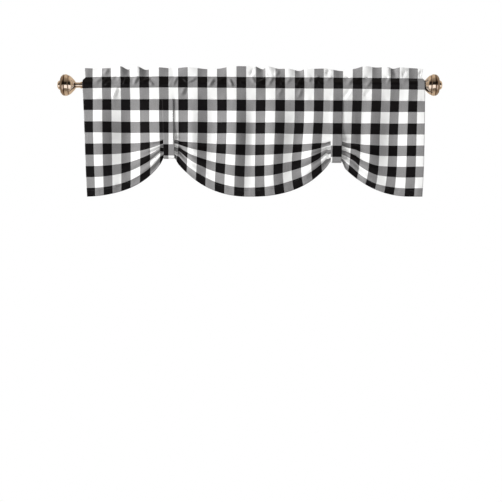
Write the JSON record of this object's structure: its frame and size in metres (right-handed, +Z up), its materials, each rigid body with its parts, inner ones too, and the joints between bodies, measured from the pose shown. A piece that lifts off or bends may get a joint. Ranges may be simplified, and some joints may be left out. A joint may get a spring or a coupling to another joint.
{
  "type": "window valance and rod",
  "caption": "Tie-up window valance of checked cloth, with ruffled heading, gathered on a round rod with turned knob finials; straps draw its skirt into swags.",
  "frame": {"origin": "on the rod's axis, midway between the tips of the finials", "axes": "+X along the rod, +Z up, -Y towards the room and +Y towards the window"},
  "size_m": [1.299, 0.0734, 0.4391],
  "materials": {
    "check_cloth": "plain-woven cotton blend in a black, grey and white check",
    "bronze": "polished champagne bronze",
    "rod_metal": "satin bronze paint on steel tube"
  },
  "bodies": {
    "root": {"valance_panel": "check_cloth", "strap_left": "check_cloth", "strap_right": "check_cloth", "rod": "rod_metal", "finial_left": "bronze", "finial_right": "bronze", "collar_left": "bronze", "collar_right": "bronze"}
  },
  "joints": []
}
